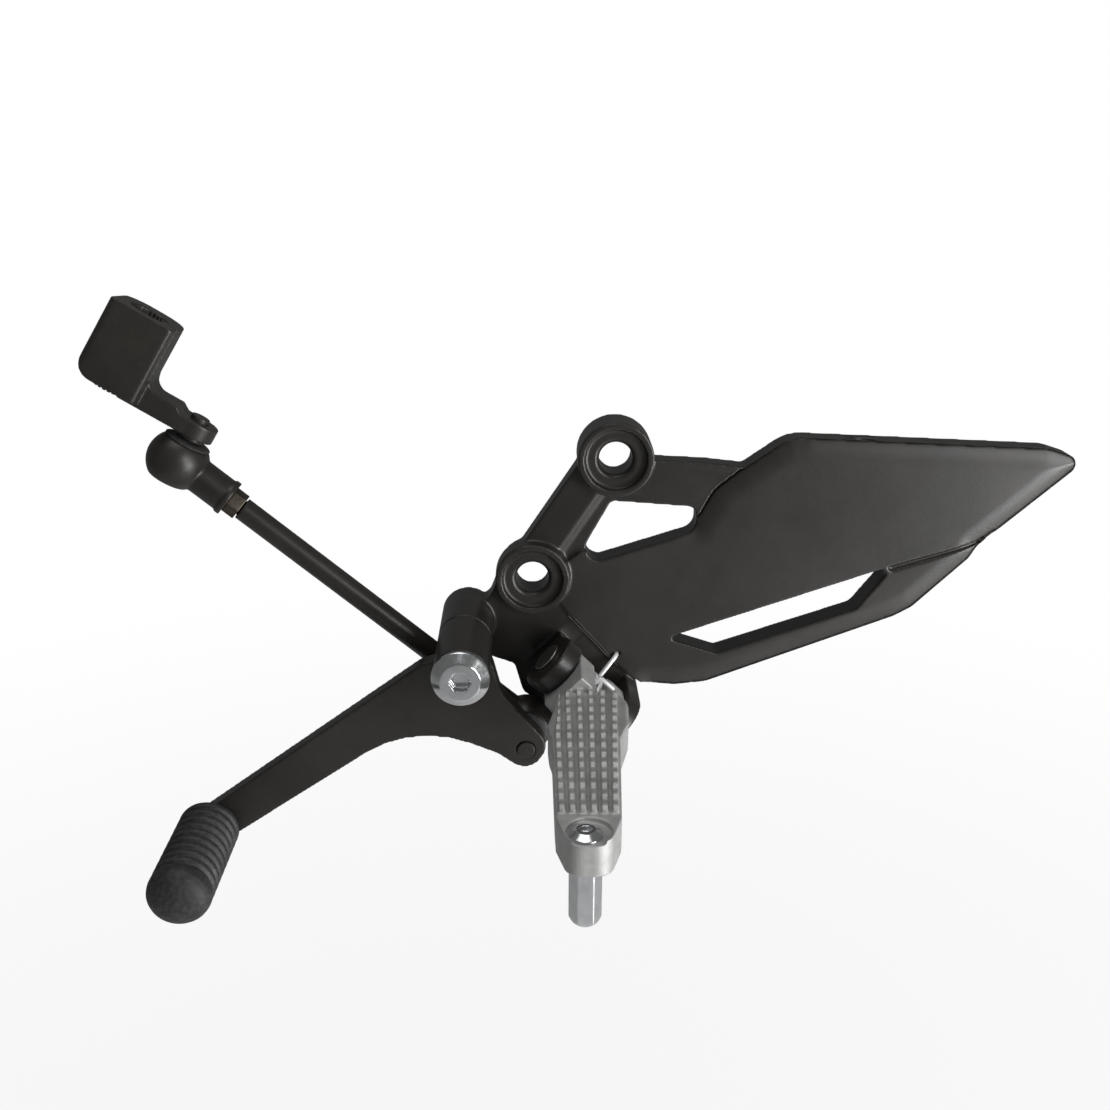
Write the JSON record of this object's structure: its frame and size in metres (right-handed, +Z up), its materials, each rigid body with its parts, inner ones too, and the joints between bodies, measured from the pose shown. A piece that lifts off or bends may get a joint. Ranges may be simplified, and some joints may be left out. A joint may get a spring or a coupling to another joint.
{
  "type": "motorcycle footrest bracket",
  "caption": "Left rider footrest bracket with heel guard, folding toothed footrest, gear lever and a ball-jointed link to the gearbox shaft arm.",
  "frame": {"origin": "centre of the lower mounting hole at the mounting face", "axes": "+X to the rear of the motorcycle, +Z up, +Y inboard into the mounting face"},
  "size_m": [0.3199, 0.1258, 0.1866],
  "materials": {
    "black_casting": "satin black paint on cast aluminium",
    "black_lever": "satin black paint, worn",
    "black_steel": "black zinc on steel, oily",
    "dark_steel": "aged dark steel",
    "dull_steel": "dull zinc",
    "bright_steel": "bright zinc",
    "cast_metal": "as cast, bare",
    "rubber": "matt"
  },
  "bodies": {
    "bracket": {"bracket_casting": "black_casting", "pivot_bolt": "bright_steel", "pivot_collar": "dull_steel", "pivot_washer": "dark_steel", "hinge_pin": "dull_steel", "pin_clip": "bright_steel", "return_spring": "bright_steel"},
    "lever": {"shift_lever": "black_lever", "toe_rubber": "rubber", "lower_ball_stud": "black_steel", "inner_seal": "rubber"},
    "link": {"lower_housing": "black_steel", "lower_boot": "rubber", "lower_lock_nut": "dark_steel", "shift_rod": "black_steel", "upper_lock_nut": "dark_steel", "upper_housing": "black_steel", "upper_boot": "rubber"},
    "shaft_arm": {"gearbox_arm": "black_steel", "upper_ball_stud": "black_steel"},
    "peg": {"footrest": "cast_metal", "feeler": "bright_steel", "feeler_screw": "bright_steel"}
  },
  "joints": [
    {"name": "lever_pivot", "type": "hinge", "parent": "bracket", "child": "lever", "pos_m": [-0.0226, -0.038, -0.0164], "axis": [0, -1, 0], "range_deg": [-12, 8]},
    {"name": "link_lower_ball", "type": "hinge", "parent": "lever", "child": "link", "pos_m": [-0.0026, -0.017, -0.0521], "axis": [0, -1, 0], "range_deg": [0, 60]},
    {"name": "link_upper_ball", "type": "hinge", "parent": "link", "child": "shaft_arm", "pos_m": [-0.11309, -0.017, 0.04395], "axis": [0.5248, 0.1392, 0.8398], "range_deg": [-60, 60]},
    {"name": "footrest_fold", "type": "hinge", "parent": "bracket", "child": "peg", "pos_m": [0.0173, -0.022, -0.0373], "axis": [-0.7071, 0, 0.7071], "range_deg": [0, 65], "stiffness_Nm_per_rad": 0.25, "springref_deg": -34.38}
  ]
}
